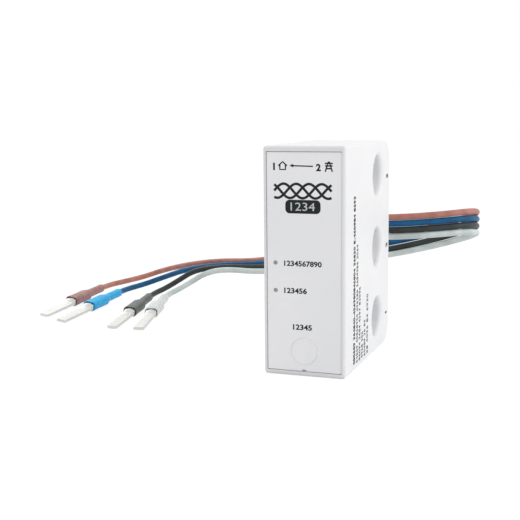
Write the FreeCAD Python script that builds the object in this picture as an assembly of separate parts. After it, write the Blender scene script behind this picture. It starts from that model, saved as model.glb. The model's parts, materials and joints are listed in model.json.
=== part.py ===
import FreeCAD, Part
import math
import os

V = FreeCAD.Vector

# Three-phase energy meter for a breaker panel, with built-in current transformers
# and four fitted voltage leads.
# Units are millimetres. X runs across the thin width, along the conductor tunnels,
# Y runs from the front face to the rear face, and Z is up.
# The origin is the middle of the housing's footprint.

# Conductor tunnels, one for each phase, at the width of one breaker module
tunnel_count = 3
tunnel_pitch = 18.0
tunnel_radius = 3.5
tunnel_wall = 0.7
tunnel_from_rear = 12.75
funnel_radius = 1.0
mouth_radius = 4.9
mouth_depth = 3.2
mouth_edge_radius = 1.2
mouth_shoulder = 1.0
collar_clearance = 0.1
collar_wall = 0.7
collar_height = 0.7

# Housing envelope, as high as its breaker modules less a fitting gap
module_gap = 1.0
housing_width = 19.5
housing_depth = 44.0
wall = 1.2
front_corner_radius = 0.8
rear_rim_radius = 5.0
side_rim_radius = 0.7
smallest_inner_round = 0.2

# Side cover with its lip and snap hooks
cover_thickness = 1.6
cover_gap = 0.05
lip_height = 1.2
lip_thickness = 0.8
lip_clearance = 0.1
hook_length = 4.0
hook_width = 3.5
hook_head = 0.5
hook_head_length = 1.0
hook_from_front = 14.0
hook_from_rear = 7.0
pocket_clearance = 0.15

# Front label plate in its recess
bezel_side = 0.85
bezel_top = 1.3
bezel_bottom = 1.15
recess_depth = 1.0
panel_thickness = 0.85
panel_gap = 0.12
pry_notch_width = 0.9
pry_notch_depth = 0.35

# Reset button and its switch
button_height = 5.95
button_radius = 3.1
button_clearance = 0.1
button_proud = 0.1
button_dish_depth = 0.12
button_edge = 0.12
button_flange = 0.8
button_flange_thickness = 0.7
button_stop_gap = 0.05
button_stem_radius = 1.2
button_travel = 0.35
button_stem_reserve = 0.9
plunger_radius = 1.0
plunger_proud = 0.9
plunger_length = 1.5
plunger_clearance = 0.06
plunger_touch = 0.02
switch_side = 4.5
switch_height = 1.9

# Status lamps
lamp_from_left = 2.95
lamp_from_top = 26.65
lamp_pitch = 6.4
lamp_count = 2
pipe_pin_radius = 0.42
pipe_body_radius = 0.85
pipe_clearance = 0.06
pipe_lamp_gap = 0.2
lamp_width = 0.8
lamp_length = 1.6
lamp_thickness = 0.7

# Circuit boards
board_thickness = 1.2
board_clearance = 0.1
board_margin = 0.3
board_lift = 1.45
rear_board_gap = 1.2
rail_width = 1.0
rail_overlap = 0.5
rail_setback = 3.0
display_board_thickness = 1.0
display_board_left = 0.4
post_radius = 1.5
post_front_gap = 0.4
post_end_gap = 3.5
post_rear_gap = 1.3

# Current transformers around the tunnels
ct_bore_clearance = 0.2
ct_height = 9.0
ct_wall_gap = 0.3
ct_winding_thickness = 0.5
ct_lift = 0.1
ct_core_gap = 0.05
ct_winding_angle = 330.0
ct_lead_radius = 0.3
ct_lead_proud = 0.5
ct_lead_angle = 28.0
ct_lead_clearance = 0.1

# Parts soldered to the main board, in a front row and a rear row
part_gap = 0.5
ct_part_gap = 0.8
chip_width = 5.5
chip_length = 6.0
chip_height = 1.6
crystal_width = 3.2
crystal_length = 2.4
crystal_height = 0.9
radio_width = 8.0
radio_length = 12.0
radio_thickness = 0.8
shield_width = 6.8
shield_length = 8.4
shield_height = 1.8
film_width = 5.0
film_length = 12.0
film_height = 10.5
film_edge = 0.5
smoothing_count = 2
smoothing_radius = 2.5
smoothing_height = 11.0
smoothing_edge = 0.4
varistor_radius = 3.0
varistor_thickness = 2.4
varistor_gap = 1.0
varistor_lift = 0.25
resistor_radius = 1.2
resistor_length = 4.8
resistor_gap = 0.4
resistor_lift = 0.2

# Pin header that joins the two boards
header_pins_count = 4
header_pitch = 2.54
header_width = 2.4
header_depth = 2.4
pin_side = 0.6
pin_clearance = 0.15
pin_proud = 0.6

# Leads, their comb in the rear wall and their terminals
lead_diameter = 1.7
lead_pitch = 1.8
lead_board_gap = 0.15
lead_stack_rise = 1.8
lead_bend_share = 0.45
lead_last_run = 5.1
comb_width = 2.5
comb_end = 0.6
comb_hole_clearance = 0.07
comb_clearance = 0.08
comb_flange = 0.5
comb_flange_thickness = 0.6
tail_gap = 0.75
sleeve_length = 21.0
sleeve_rear_size = 2.6
sleeve_rear_corner = 1.1
sleeve_rear_length = 9.0
sleeve_taper_length = 2.5
sleeve_front_width = 4.0
sleeve_front_height = 3.0
sleeve_front_corner = 1.0
sleeve_wall = 0.35
sleeve_pocket_depth = 9.0
blade_width = 3.0
blade_thickness = 0.8
blade_exposed = 17.8
blade_round_tip = 1.25
blade_square_tip = 0.6
blade_tip_softness = 0.2
blade_rear_radius = 0.1
blade_seat = 0.27
barrel_wall = 0.4
barrel_height = 1.7
barrel_seam = 0.3
barrel_length = 7.5
barrel_ramp_start = 1.4
barrel_ramp_end = 0.6

# How the terminals lie on the surface, in degrees
terminal_slope = 1.5
terminal_rolls = {"brown": 9.0, "blue": 9.0, "black": 5.0, "grey": 1.0}

# How far a cut runs past the face that it opens, and how close two faces count as one
overshoot = 1.0
same_place = 0.001

# Faces and centres that follow from the sizes above
housing_height = tunnel_count * tunnel_pitch - module_gap
half_width = housing_width / 2
front_y = -housing_depth / 2
rear_y = housing_depth / 2
panel_seat_y = front_y + recess_depth
inner_front_y = panel_seat_y + wall
inner_rear_y = rear_y - wall
inner_right_x = half_width - wall
cover_inner_x = -half_width + cover_thickness
panel_front_y = panel_seat_y - panel_thickness
hook_places_y = (front_y + hook_from_front, rear_y - hook_from_rear)
tunnel_y = rear_y - tunnel_from_rear
tunnel_outer_radius = tunnel_radius + tunnel_wall
tunnel_heights = [housing_height / 2 + (i - (tunnel_count - 1) / 2) * tunnel_pitch
                  for i in range(tunnel_count)]
mouth_end_x = half_width - mouth_depth - mouth_shoulder
lamp_x = -half_width + lamp_from_left
lamp_heights = [housing_height - lamp_from_top - i * lamp_pitch for i in range(lamp_count)]

# Boards and what stands on them
board_back_x = cover_inner_x + board_lift
board_face_x = board_back_x + board_thickness
board_bottom_z = wall + lip_clearance + lip_thickness + board_margin
board_top_z = housing_height - board_bottom_z
button_front_y = panel_front_y - button_proud
flange_front_y = inner_front_y + button_stop_gap
stem_length = button_travel + button_stem_reserve
plunger_front_y = flange_front_y + button_flange_thickness + stem_length
switch_front_y = plunger_front_y + plunger_proud
display_face_y = switch_front_y + switch_height
display_back_y = display_face_y + display_board_thickness
board_front_y = display_back_y + board_margin
board_rear_y = inner_rear_y - rear_board_gap
lip_front_y = inner_front_y + lip_clearance
post_front_y = display_back_y + post_front_gap + post_radius
post_rear_y = inner_rear_y - post_rear_gap - post_radius
post_low_z = post_end_gap + post_radius
post_places = [(post_front_y, post_low_z), (post_front_y, housing_height - post_low_z)]
post_places += [(post_rear_y, (low + high) / 2)
                for low, high in zip(tunnel_heights, tunnel_heights[1:])]

# Current transformers fill the room between a tunnel and the outer wall
ct_inner_radius = tunnel_outer_radius + ct_bore_clearance
ct_outer_radius = tunnel_heights[0] - wall - ct_wall_gap
ct_base_x = board_face_x + ct_lift
ct_top_x = ct_base_x + ct_height
ct_front_y = tunnel_y - ct_outer_radius
front_row_y = display_back_y + part_gap
rear_row_y = ct_front_y - ct_part_gap
varistor_pitch = varistor_thickness + varistor_gap
resistor_pitch = 2 * resistor_radius + resistor_gap
smoothing_pitch = 2 * smoothing_radius + part_gap

# Lead exits in the rear wall
lead_exit_x = board_face_x + lead_board_gap + lead_diameter / 2
lead_heights = [housing_height / 2 + lead_stack_rise + (1.5 - i) * lead_pitch for i in range(4)]
tail_front_y = tunnel_y + ct_outer_radius + tail_gap
comb_reach = lead_diameter / 2 + comb_end
comb_bottom_z = lead_heights[-1] - comb_reach
comb_top_z = lead_heights[0] + comb_reach
steepest_roll = math.radians(max(terminal_rolls.values()))
sleeve_axis_z = ((sleeve_front_width / 2 - sleeve_front_corner) * math.sin(steepest_roll)
                 + (sleeve_front_height / 2 - sleeve_front_corner) * math.cos(steepest_roll)
                 + sleeve_front_corner)
lead_end_z = sleeve_axis_z + sleeve_length * math.tan(math.radians(terminal_slope))
last_run_z = lead_end_z + lead_last_run * math.tan(math.radians(terminal_slope))


def spread(lengths, low, high):
    """Centres of parts in a row between two ends, with equal gaps between them."""
    gap = (high - low - sum(lengths)) / (len(lengths) - 1)
    centres = []
    for length in lengths:
        centres.append(low + length / 2)
        low += length + gap
    return centres


varistor_z, film_z, header_z = spread(
    [(tunnel_count - 1) * varistor_pitch + varistor_thickness,
     film_length,
     header_pins_count * header_pitch],
    post_low_z + post_radius + part_gap,
    housing_height - post_low_z - post_radius - part_gap)
resistor_z, smoothing_z, chip_z, crystal_z, radio_z = spread(
    [(tunnel_count - 1) * resistor_pitch + 2 * resistor_radius,
     (smoothing_count - 1) * smoothing_pitch + 2 * smoothing_radius,
     chip_length,
     crystal_length,
     radio_length],
    board_bottom_z + board_margin,
    board_top_z - board_margin)


def block(x0, x1, y0, y1, z0, z1):
    """Rectangular block between two corners."""
    return Part.makeBox(x1 - x0, y1 - y0, z1 - z0, V(x0, y0, z0))


def rod(radius, start, end):
    """Round rod between two points."""
    return Part.makeCylinder(radius, (end - start).Length, start, end - start)


def rod_x(radius, x0, x1, y, z):
    """Round rod along X."""
    return rod(radius, V(x0, y, z), V(x1, y, z))


def rod_y(radius, y0, y1, x, z):
    """Round rod along Y."""
    return rod(radius, V(x, y0, z), V(x, y1, z))


def rounded_outline(corners, radii, place):
    """Closed wire through the corners, each rounded by its own radius."""
    starts = []
    edges = []
    count = len(corners)
    for i, (corner, radius) in enumerate(zip(corners, radii)):
        before = V(*corners[i - 1], 0) - V(*corner, 0)
        after = V(*corners[(i + 1) % count], 0) - V(*corner, 0)
        before.normalize()
        after.normalize()
        half = before.getAngle(after) / 2
        reach = radius / math.tan(half)
        middle = (before + after).normalize() * (radius / math.sin(half) - radius)
        points = [V(*corner, 0) + step for step in (before * reach, middle, after * reach)]
        starts.append([place(point.x, point.y) for point in points])
    for i, points in enumerate(starts):
        edges.append(Part.Arc(*points).toShape())
        edges.append(Part.LineSegment(points[2], starts[(i + 1) % count][0]).toShape())
    return Part.Wire(edges)


def envelope(inset):
    """Rounded housing shape, drawn in by an inset all round."""
    side = half_width - inset
    rear = rear_y - inset
    bottom = inset
    top = housing_height - inset
    front_round = max(front_corner_radius - inset, smallest_inner_round)
    rim_round = rear_rim_radius - inset
    front = front_y + inset
    behind = rear + overshoot
    plan = rounded_outline([(-side, front), (side, front), (side, behind), (-side, behind)],
                           [front_round] * 2 + [smallest_inner_round] * 2,
                           lambda u, v: V(u, v, bottom))
    profile = rounded_outline([(front, bottom), (rear, bottom), (rear, top), (front, top)],
                              [front_round, rim_round, rim_round, front_round],
                              lambda u, v: V(-side, u, v))
    upright = Part.Face(plan).extrude(V(0, 0, top - bottom))
    across = Part.Face(profile).extrude(V(2 * side, 0, 0))
    return upright.common(across)


def soften_sides(shape):
    """Round the rim where each side face meets the top, the rear and the bottom."""
    rims = [edge for edge in shape.Edges
            if edge.BoundBox.XLength < same_place
            and abs(abs(edge.BoundBox.XMin) - half_width) < same_place
            and edge.BoundBox.YMax > front_y + front_corner_radius + same_place]
    return shape.makeFillet(side_rim_radius, rims)


def funnel(z, face_x, outward, throat_radius, edge_radius):
    """Cutter for the rounded edge of one tunnel's mouth."""
    inner_x = face_x - outward * edge_radius
    mouth = throat_radius + edge_radius
    diagonal = edge_radius * math.sqrt(0.5)
    axis_in = V(inner_x, tunnel_y, z)
    axis_out = V(face_x, tunnel_y, z)
    throat = V(inner_x, tunnel_y + throat_radius, z)
    lip = V(face_x, tunnel_y + mouth, z)
    middle = V(inner_x + outward * diagonal, tunnel_y + mouth - diagonal, z)
    outline = Part.Wire([Part.LineSegment(axis_in, throat).toShape(),
                         Part.Arc(throat, middle, lip).toShape(),
                         Part.LineSegment(lip, axis_out).toShape(),
                         Part.LineSegment(axis_out, axis_in).toShape()])
    return Part.Face(outline).revolve(axis_in, V(1, 0, 0), 360)


def mouth(z):
    """Cutter for the wide mouth of one tunnel in the right face, with its sloped shoulder."""
    recess = rod_x(mouth_radius, half_width - mouth_depth, half_width + overshoot, tunnel_y, z)
    shoulder = Part.makeCone(tunnel_radius, mouth_radius, mouth_shoulder,
                             V(mouth_end_x, tunnel_y, z), V(1, 0, 0))
    edge = funnel(z, half_width, 1, mouth_radius, mouth_edge_radius)
    return recess.fuse(shoulder).fuse(edge)


def cover_region():
    """Space behind the front frame that the side cover fills."""
    return block(-half_width - overshoot, cover_inner_x, inner_front_y + cover_gap,
                 rear_y + overshoot, -overshoot, housing_height + overshoot)


def hook_places():
    """Front and rear hook positions for the bottom wall and the top wall."""
    for y in hook_places_y:
        yield y, wall, -1
        yield y, housing_height - wall, 1


def housing_body(shell, cavity):
    """Tray with the front frame, tunnels, posts and board rails."""
    body = shell.cut(cover_region())
    room = cavity.common(block(-half_width, inner_right_x, inner_front_y, inner_rear_y,
                               0, housing_height))
    body = body.cut(room)
    body = body.cut(block(-half_width + bezel_side, half_width - bezel_side,
                          front_y - overshoot, panel_seat_y,
                          bezel_bottom, housing_height - bezel_top))
    for y, z in post_places:
        body = body.fuse(rod_x(post_radius, board_face_x, inner_right_x, y, z))
    for z in tunnel_heights:
        body = body.fuse(rod_x(tunnel_outer_radius, cover_inner_x, inner_right_x, tunnel_y, z))
        body = body.fuse(rod_x(mouth_radius + tunnel_wall, mouth_end_x, inner_right_x,
                               tunnel_y, z))
    for z in tunnel_heights:
        body = body.cut(rod_x(tunnel_radius, cover_inner_x - overshoot, half_width + overshoot,
                              tunnel_y, z))
        body = body.cut(mouth(z))
    rail_reach = board_bottom_z + rail_overlap - wall
    for y in (display_face_y - board_clearance - rail_width, display_back_y + board_clearance):
        for z in (wall, housing_height - wall - rail_reach):
            body = body.fuse(block(cover_inner_x + rail_setback, inner_right_x,
                                   y, y + rail_width, z, z + rail_reach))
    body = body.cut(rod_y(button_radius + button_clearance, front_y, inner_front_y + overshoot,
                          0, button_height))
    for z in lamp_heights:
        body = body.cut(rod_y(pipe_pin_radius + pipe_clearance, front_y, inner_front_y + overshoot,
                              lamp_x, z))
    for y, face_z, outward in hook_places():
        depth = hook_head + pocket_clearance
        low, high = sorted((face_z, face_z + outward * depth))
        tip = cover_inner_x + hook_length
        body = body.cut(block(tip - hook_head_length - pocket_clearance, tip + pocket_clearance,
                              y - hook_width / 2 - pocket_clearance,
                              y + hook_width / 2 + pocket_clearance, low, high))
    body = body.cut(block(lead_exit_x - comb_width / 2, lead_exit_x + comb_width / 2,
                          inner_rear_y - overshoot, rear_y + overshoot,
                          comb_bottom_z, comb_top_z))
    return body.removeSplitter()


def side_cover(shell, cavity):
    """Left cover with its lip, snap hooks, collars and board pins."""
    cover = shell.common(cover_region()).cut(
        block(cover_inner_x - cover_gap, half_width, front_y, rear_y, 0, housing_height))
    plate_inner_x = cover_inner_x - cover_gap
    lip_end_x = plate_inner_x + lip_height
    inset = wall + lip_clearance
    lip = envelope(inset).common(block(plate_inner_x, lip_end_x, lip_front_y, rear_y,
                                       0, housing_height))
    hollow = block(plate_inner_x - overshoot, lip_end_x + overshoot,
                   front_y, rear_y - inset - lip_thickness,
                   inset + lip_thickness, housing_height - inset - lip_thickness)
    cover = cover.fuse(lip.cut(hollow))
    tip_x = cover_inner_x + hook_length
    for y, face_z, outward in hook_places():
        outer_z = face_z - outward * lip_clearance
        inner_z = outer_z - outward * lip_thickness
        low, high = sorted((outer_z, inner_z))
        cover = cover.fuse(block(plate_inner_x, tip_x, y - hook_width / 2, y + hook_width / 2,
                                 low, high))
        start_y = y - hook_width / 2
        barb = Part.Face(Part.makePolygon([
            V(tip_x - hook_head_length, start_y, outer_z),
            V(tip_x - hook_head_length, start_y, face_z + outward * hook_head),
            V(tip_x, start_y, outer_z),
            V(tip_x - hook_head_length, start_y, outer_z)]))
        cover = cover.fuse(barb.extrude(V(0, hook_width, 0)))
    collar_radius = tunnel_outer_radius + collar_clearance
    for z in tunnel_heights:
        collar = rod_x(collar_radius + collar_wall, plate_inner_x, plate_inner_x + collar_height,
                       tunnel_y, z)
        cover = cover.fuse(collar.cut(rod_x(collar_radius, plate_inner_x - overshoot,
                                            plate_inner_x + collar_height + overshoot,
                                            tunnel_y, z)))
    for y, z in post_places:
        cover = cover.fuse(rod_x(post_radius, plate_inner_x, board_back_x, y, z))
    for z in tunnel_heights:
        cover = cover.cut(rod_x(tunnel_radius, -half_width - overshoot,
                                cover_inner_x + overshoot, tunnel_y, z))
        cover = cover.cut(funnel(z, -half_width, -1, tunnel_radius, funnel_radius))
    return cover.removeSplitter()


def front_panel():
    """Label plate with its button hole, lamp holes and pry notch."""
    low_x = -half_width + bezel_side + panel_gap
    low_z = bezel_bottom + panel_gap
    plate = block(low_x, -low_x, panel_front_y, panel_seat_y, low_z,
                  housing_height - bezel_top - panel_gap)
    plate = plate.cut(rod_y(button_radius + button_clearance, front_y, rear_y, 0, button_height))
    for z in lamp_heights:
        plate = plate.cut(rod_y(pipe_pin_radius + pipe_clearance, front_y, rear_y, lamp_x, z))
    return plate.cut(block(-pry_notch_width / 2, pry_notch_width / 2, front_y, panel_seat_y,
                           low_z - overshoot, low_z + pry_notch_depth))


def reset_button():
    """Round push button with a dished face, a stop flange and a stem."""
    cap = rod_y(button_radius, button_front_y, flange_front_y, 0, button_height)
    rim = [edge for edge in cap.Edges
           if edge.BoundBox.YMax < button_front_y + same_place]
    cap = cap.makeFillet(button_edge, rim)
    dish_width = button_radius - 2 * button_edge
    dish_radius = (dish_width ** 2 + button_dish_depth ** 2) / (2 * button_dish_depth)
    cap = cap.cut(Part.makeSphere(dish_radius, V(0, button_front_y + button_dish_depth - dish_radius,
                                                 button_height)))
    flange_back_y = flange_front_y + button_flange_thickness
    cap = cap.fuse(rod_y(button_radius + button_flange, flange_front_y, flange_back_y,
                         0, button_height))
    cap = cap.fuse(rod_y(button_stem_radius, flange_back_y, plunger_front_y - plunger_touch,
                         0, button_height))
    return cap.removeSplitter()


def switch_plunger():
    """Plunger of the push switch."""
    return rod_y(plunger_radius, plunger_front_y, plunger_front_y + plunger_length,
                 0, button_height)


def switch_case():
    """Square case of the push switch, bored for its plunger."""
    half = switch_side / 2
    case = block(-half, half, switch_front_y, display_face_y,
                 button_height - half, button_height + half)
    bore_end = plunger_front_y + plunger_length + button_travel + 2 * plunger_clearance
    return case.cut(rod_y(plunger_radius + plunger_clearance, switch_front_y - overshoot,
                          bore_end, 0, button_height))


def light_pipe(z):
    """Clear light guide from the panel face back to its lamp."""
    pin = rod_y(pipe_pin_radius, panel_front_y, inner_front_y, lamp_x, z)
    lamp_front_y = display_face_y - lamp_thickness
    return pin.fuse(rod_y(pipe_body_radius, inner_front_y, lamp_front_y - pipe_lamp_gap,
                          lamp_x, z)).removeSplitter()


def status_lamp(z):
    """Lamp chip on the display board."""
    return block(lamp_x - lamp_width / 2, lamp_x + lamp_width / 2,
                 display_face_y - lamp_thickness, display_face_y,
                 z - lamp_length / 2, z + lamp_length / 2)


def pin_heights():
    """Heights of the header pins."""
    first = header_z - (header_pins_count - 1) * header_pitch / 2
    return [first + i * header_pitch for i in range(header_pins_count)]


def header_pin(z, grow):
    """One right-angle pin through both boards, grown by a clearance for its holes."""
    half = pin_side / 2 + grow
    x = board_face_x + header_width / 2
    y = display_back_y + header_depth / 2
    forward = block(x - half, x + half, display_face_y - pin_proud - grow, y + half,
                    z - half, z + half)
    down = block(board_back_x - pin_proud - grow, x + half, y - half, y + half,
                 z - half, z + half)
    return forward.fuse(down).removeSplitter()


def display_board():
    """Narrow board behind the front wall, with the switch and the lamps."""
    board = block(cover_inner_x + display_board_left, inner_right_x - board_clearance,
                  display_face_y, display_back_y, board_bottom_z, board_top_z)
    for z in pin_heights():
        board = board.cut(header_pin(z, pin_clearance))
    return board


def main_board():
    """Main board, threaded over the three tunnels."""
    board = block(board_back_x, board_face_x, board_front_y, board_rear_y,
                  board_bottom_z, board_top_z)
    for z in tunnel_heights:
        board = board.cut(rod_x(tunnel_outer_radius + ct_bore_clearance,
                                board_back_x - overshoot, board_face_x + overshoot,
                                tunnel_y, z))
        for y, lead_z in ct_lead_places(z):
            board = board.cut(rod_x(ct_lead_radius + ct_lead_clearance,
                                    board_back_x - overshoot, board_face_x + overshoot,
                                    y, lead_z))
    for z in pin_heights():
        board = board.cut(header_pin(z, pin_clearance))
    return board


def header_block():
    """Plastic block that holds the header pins between the boards."""
    half = header_pins_count * header_pitch / 2
    body = block(board_face_x, board_face_x + header_width, display_back_y,
                 display_back_y + header_depth, header_z - half, header_z + half)
    for z in pin_heights():
        body = body.cut(header_pin(z, 0))
    return body


def ct_lead_places(z):
    """Where the two leads of a winding meet the board."""
    reach = (ct_inner_radius + ct_outer_radius) / 2
    angle = math.radians(ct_lead_angle)
    return [(tunnel_y - reach * math.cos(angle), z + side * reach * math.sin(angle))
            for side in (-1, 1)]


def ring(inner, outer, x0, x1, z, angle):
    """Ring around one tunnel, over part of a turn that leaves its gap at the front."""
    section = Part.Face(Part.makePolygon([
        V(x0, tunnel_y - inner, z), V(x1, tunnel_y - inner, z),
        V(x1, tunnel_y - outer, z), V(x0, tunnel_y - outer, z),
        V(x0, tunnel_y - inner, z)]))
    section.rotate(V(0, tunnel_y, z), V(1, 0, 0), (360 - angle) / 2)
    return section.revolve(V(0, tunnel_y, z), V(1, 0, 0), angle)


def ct_core(z):
    """Ring core of one current transformer."""
    inset = ct_winding_thickness + ct_core_gap
    return ring(ct_inner_radius + inset, ct_outer_radius - inset,
                ct_base_x + inset, ct_top_x - inset, z, 360)


def ct_winding(z):
    """Winding wrapped round the core, open over a short gap."""
    t = ct_winding_thickness
    hollow = ring(ct_inner_radius + t, ct_outer_radius - t, ct_base_x + t, ct_top_x - t, z, 360)
    return ring(ct_inner_radius, ct_outer_radius, ct_base_x, ct_top_x, z,
                ct_winding_angle).cut(hollow)


def ct_leads():
    """Six leads from the windings down through the board."""
    leads = []
    for z in tunnel_heights:
        for y, lead_z in ct_lead_places(z):
            leads.append(rod_x(ct_lead_radius, board_back_x - ct_lead_proud, ct_base_x,
                               y, lead_z))
    return Part.makeCompound(leads)


def on_board(rear, width, length, height, z, lift=0.0):
    """Block standing on the main board, with its rear face at the given Y."""
    return block(board_face_x + lift, board_face_x + lift + height, rear - width, rear,
                 z - length / 2, z + length / 2)


def phase_heights(centre, pitch):
    """Heights of parts that repeat once for each phase."""
    return [centre + (i - (tunnel_count - 1) / 2) * pitch for i in range(tunnel_count)]


def metering_chip():
    """Flat chip that measures the three phases."""
    return on_board(rear_row_y, chip_width, chip_length, chip_height, chip_z)


def crystal():
    """Small clock crystal in its can."""
    return on_board(rear_row_y, crystal_width, crystal_length, crystal_height, crystal_z)


def radio_board():
    """Small radio board at the top end of the main board."""
    return on_board(rear_row_y, radio_width, radio_length, radio_thickness, radio_z)


def radio_shield():
    """Metal shield on the radio board."""
    margin = (radio_width - shield_width) / 2
    return on_board(rear_row_y - margin, shield_width, shield_length, shield_height,
                    radio_z - (radio_length - shield_length) / 2 + margin, radio_thickness)


def film_capacitor():
    """Boxed film capacitor of the power supply."""
    body = on_board(front_row_y + film_width, film_width, film_length, film_height, film_z)
    upper = [edge for edge in body.Edges if edge.BoundBox.XMax > board_face_x + film_height / 2]
    return body.makeChamfer(film_edge, upper)


def smoothing_capacitors():
    """Round smoothing capacitors with a bevelled end."""
    cans = []
    for i in range(smoothing_count):
        z = smoothing_z + (i - (smoothing_count - 1) / 2) * smoothing_pitch
        can = rod_x(smoothing_radius, board_face_x, board_face_x + smoothing_height,
                    rear_row_y - smoothing_radius, z)
        top = [edge for edge in can.Edges
               if edge.BoundBox.XMin > board_face_x + smoothing_height / 2]
        cans.append(can.makeChamfer(smoothing_edge, top))
    return Part.makeCompound(cans)


def varistors():
    """One surge disc for each phase, standing on edge."""
    x = board_face_x + varistor_lift + varistor_radius
    y = front_row_y + varistor_radius
    half = varistor_thickness / 2
    return Part.makeCompound([rod(varistor_radius, V(x, y, z - half), V(x, y, z + half))
                              for z in phase_heights(varistor_z, varistor_pitch)])


def fuse_resistors():
    """One fusible resistor for each phase."""
    x = board_face_x + resistor_lift + resistor_radius
    return Part.makeCompound([rod_y(resistor_radius, rear_row_y - resistor_length, rear_row_y,
                                    x, z)
                              for z in phase_heights(resistor_z, resistor_pitch)])


def wire_comb():
    """Comb that fills the slot in the rear wall and grips the four leads."""
    low_x = lead_exit_x - comb_width / 2
    high_x = lead_exit_x + comb_width / 2
    plug = block(low_x + comb_clearance, high_x - comb_clearance, inner_rear_y, rear_y,
                 comb_bottom_z + comb_clearance, comb_top_z - comb_clearance)
    plug = plug.fuse(block(low_x + comb_clearance, high_x + comb_flange,
                           inner_rear_y - comb_flange_thickness, inner_rear_y,
                           comb_bottom_z - comb_flange, comb_top_z + comb_flange))
    for z in lead_heights:
        plug = plug.cut(rod_y(lead_diameter / 2 + comb_hole_clearance,
                              inner_rear_y - comb_flange_thickness - overshoot,
                              rear_y + overshoot,
                              lead_exit_x, z))
    return plug.removeSplitter()


def wire_tails():
    """Ends of the four leads inside the housing."""
    return Part.makeCompound([rod_y(lead_diameter / 2, tail_front_y, rear_y, lead_exit_x, z)
                              for z in lead_heights])


# Each route lists X, the distance behind the rear wall, and the height of its points.
# The leads leave the wall as a flat stack, turn back beside the housing, pass behind it
# and fan out to their terminals on the surface that the housing stands on.
lead_routes = {
    "brown": [(lead_exit_x, 0.0, lead_heights[0]), (lead_exit_x, 6.0, lead_heights[0]),
              (-1.9, 11.0, lead_heights[0]), (3.6, 13.6, lead_heights[0]), (12.5, 13.9, 31.5),
              (22.0, 14.6, 32.4), (28.6, 21.3, 32.8), (28.8, 31.2, 31.4), (22.8, 38.4, 28.6),
              (10.5, 40.3, 24.6), (-5.5, 41.0, 20.8), (-25.0, 40.4, 16.8), (-41.5, 39.8, 13.0),
              (-55.3, 41.0, 12.4), (-68.5, 45.6, 10.0), (-80.0, 49.6, 6.9), (-87.5, 49.6, 4.2),
              (-92.2, 46.0, 3.1), (-96.53, 40.0, last_run_z), (-96.3, 34.9, lead_end_z)],
    "blue": [(lead_exit_x, 0.0, lead_heights[1]), (lead_exit_x, 6.0, lead_heights[1]),
             (-1.9, 11.0, lead_heights[1]), (3.6, 13.6, lead_heights[1]), (12.5, 13.9, 29.7),
             (22.0, 14.6, 30.6), (28.6, 21.3, 30.9), (28.8, 31.2, 29.4), (22.8, 38.4, 26.6),
             (10.5, 40.0, 22.7), (-5.5, 40.2, 19.0), (-25.0, 39.2, 15.2), (-40.9, 38.2, 12.3),
             (-55.1, 39.0, 11.4), (-67.4, 41.6, 9.0), (-76.8, 43.2, 5.6), (-82.6, 40.2, 3.4),
             (-86.9, 34.4, last_run_z), (-86.7, 29.3, lead_end_z)],
    "black": [(lead_exit_x, 0.0, lead_heights[2]), (lead_exit_x, 6.0, lead_heights[2]),
              (-1.9, 11.0, lead_heights[2]), (3.6, 13.6, lead_heights[2]), (12.5, 13.9, 27.9),
              (22.0, 14.6, 28.8), (28.6, 21.3, 29.0), (28.8, 31.2, 27.4), (22.8, 38.2, 24.6),
              (10.5, 39.5, 20.8), (-5.5, 39.0, 17.2), (-25.0, 37.3, 13.6), (-40.2, 36.1, 11.5),
              (-53.6, 36.8, 11.2), (-63.6, 38.6, 9.2), (-69.2, 38.6, 5.7), (-72.6, 34.8, 3.3),
              (-74.51, 30.12, last_run_z), (-73.6, 25.1, lead_end_z)],
    "grey": [(lead_exit_x, 0.0, lead_heights[3]), (lead_exit_x, 6.0, lead_heights[3]),
             (-1.9, 11.0, lead_heights[3]), (3.6, 13.6, lead_heights[3]), (12.5, 13.9, 26.1),
             (22.0, 14.6, 27.0), (28.6, 21.3, 27.1), (28.8, 31.2, 25.4), (22.8, 38.0, 22.6),
             (10.5, 39.0, 19.0), (-5.5, 38.0, 15.6), (-25.0, 35.6, 12.1), (-39.6, 34.2, 10.4),
             (-50.8, 34.6, 10.8), (-58.6, 36.2, 9.0), (-64.2, 35.6, 5.4), (-67.3, 33.9, 3.5),
             (-69.46, 30.24, last_run_z), (-68.2, 25.3, lead_end_z)],
}


# The terminals on two of the leads have rounder tips than the other two
blade_tips = {"brown": blade_round_tip, "blue": blade_square_tip,
              "black": blade_round_tip, "grey": blade_square_tip}


def route_points(colour):
    """Corner points of one lead, from the rear wall to its terminal."""
    return [V(x, rear_y + behind, z) for x, behind, z in lead_routes[colour]]


def lead(colour):
    """Round lead along its route of straight runs and tangent arcs."""
    points = route_points(colour)
    edges = []
    radii = []
    here = points[0]
    for before, corner, after in zip(points, points[1:], points[2:]):
        back = before - corner
        ahead = after - corner
        reach = lead_bend_share * min(back.Length, ahead.Length)
        back.normalize()
        ahead.normalize()
        half = back.getAngle(ahead) / 2
        radius = reach * math.tan(half)
        radii.append(radius)
        middle = (back + ahead).normalize() * (radius / math.sin(half) - radius)
        edges.append(Part.LineSegment(here, corner + back * reach).toShape())
        edges.append(Part.Arc(corner + back * reach, corner + middle,
                              corner + ahead * reach).toShape())
        here = corner + ahead * reach
    edges.append(Part.LineSegment(here, points[-1]).toShape())
    path = Part.Wire(edges)
    circle = Part.Wire(Part.Circle(points[0], points[1] - points[0], lead_diameter / 2).toShape())
    tube = path.makePipeShell([circle], True, False)
    expected = math.pi * lead_diameter ** 2 / 4 * path.Length
    print("lead %-6s length %.1f, volume ratio %.4f, smallest bend radius %.1f"
          % (colour, path.Length, tube.Volume / expected, min(radii)))
    return tube


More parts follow.
